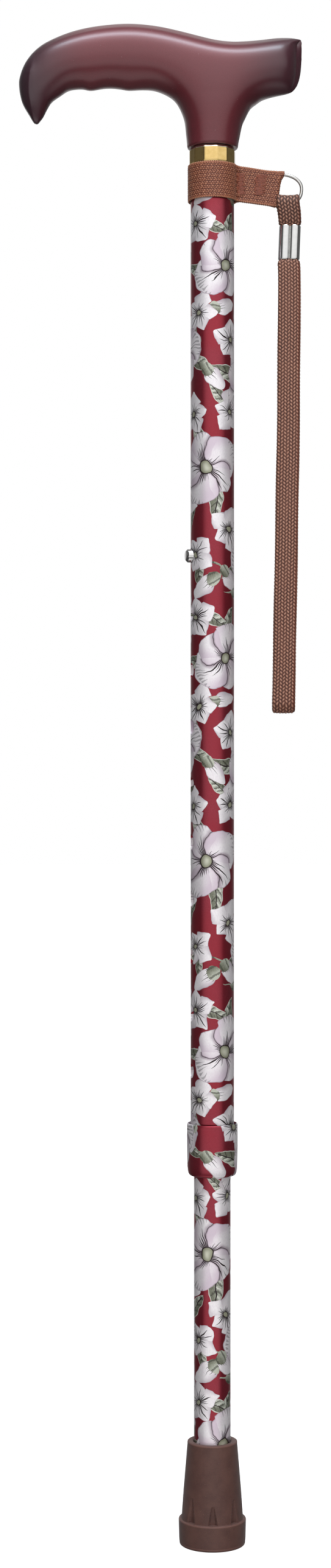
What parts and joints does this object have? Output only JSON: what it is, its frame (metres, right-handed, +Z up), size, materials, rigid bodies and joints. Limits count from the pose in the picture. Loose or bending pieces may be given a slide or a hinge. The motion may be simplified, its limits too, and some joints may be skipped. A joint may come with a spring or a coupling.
{
  "type": "walking cane",
  "caption": "Height-adjustable walking cane: derby handle, telescoping printed tube shaft with snap button and lock collar, rubber tip and a braided wrist strap on a ring.",
  "frame": {"origin": "centre of the rubber tip's underside, on the shaft's axis", "axes": "+Z up along the shaft; the handle's nose points to -X and the wrist strap hangs on the +X side; the cane is shown at its shortest setting"},
  "size_m": [0.1242, 0.0294, 0.6646],
  "materials": {
    "tip": "matte moulded rubber",
    "tip_washer": "plain pressed steel",
    "lower_tube": "satin metallic wine red with a floral print",
    "button_spring": "spring steel",
    "snap_button": "plated steel",
    "guide_bush": "black nylon",
    "collet": "natural nylon",
    "lock_collar": "satin metallic wine red with a floral print",
    "threaded_sleeve": "black nylon",
    "upper_tube": "satin metallic wine red with a floral print",
    "handle_plug": "grey nylon",
    "handle_screw": "zinc-plated steel",
    "gold_collar": "polished gold colour",
    "handle": "satin pearl wine",
    "strap_band": "ribbed elastic webbing",
    "d_ring": "nickel-plated wire",
    "cord_eye": "flat braid",
    "wrist_cord": "flat braid",
    "cord_clamp": "nickel-plated crimped sleeve"
  },
  "bodies": {
    "lower_shaft": {"tip": "tip", "tip_washer": "tip_washer", "lower_tube": "lower_tube", "guide_bush": "guide_bush", "button_spring": "button_spring"},
    "button": {"snap_button": "snap_button"},
    "upper_shaft": {"upper_tube": "upper_tube", "threaded_sleeve": "threaded_sleeve", "handle_plug": "handle_plug", "handle_screw": "handle_screw", "gold_collar": "gold_collar", "handle": "handle"},
    "collet": {"collet": "collet"},
    "lock_collar": {"lock_collar": "lock_collar"},
    "strap_band": {"strap_band": "strap_band"},
    "d_ring": {"d_ring": "d_ring"},
    "wrist_strap": {"cord_eye": "cord_eye", "wrist_cord": "wrist_cord", "cord_clamp": "cord_clamp"}
  },
  "joints": [
    {"name": "telescope", "type": "slide", "parent": "lower_shaft", "child": "upper_shaft", "axis": [0, 0, 1], "range_m": [0, 0.225], "deforming": ["snap_button", "button_spring"]},
    {"name": "button_press", "type": "slide", "parent": "lower_shaft", "child": "button", "axis": [0.9781, 0.2079, 0], "range_m": [0, 0.0042], "stiffness_N_per_m": 800},
    {"name": "collar_travel", "type": "slide", "parent": "upper_shaft", "child": "collet", "axis": [0, 0, -1], "range_m": [0, 0.0021]},
    {"name": "lock_collar_turn", "type": "hinge", "parent": "collet", "child": "lock_collar", "pos_m": [0, 0, 0.1725], "axis": [0, 0, -1], "range_deg": [0, 360]},
    {"name": "band_turn", "type": "hinge", "parent": "upper_shaft", "child": "strap_band", "pos_m": [0, 0, 0.5948], "axis": [0, 0, 1], "continuous": true},
    {"name": "ring_swing", "type": "hinge", "parent": "strap_band", "child": "d_ring", "pos_m": [0.0279, 0, 0.59285], "axis": [0.1045, 0, 0.9945], "range_deg": [-90, 90]},
    {"name": "strap_swing", "type": "hinge", "parent": "d_ring", "child": "wrist_strap", "pos_m": [0.03272, 0, 0.5861], "axis": [-1, 0, 0], "range_deg": [-90, 90]}
  ],
  "couplings": [
    {"joint": "collar_travel", "follows": "lock_collar_turn", "m_per_rad": 0.00031831}
  ]
}
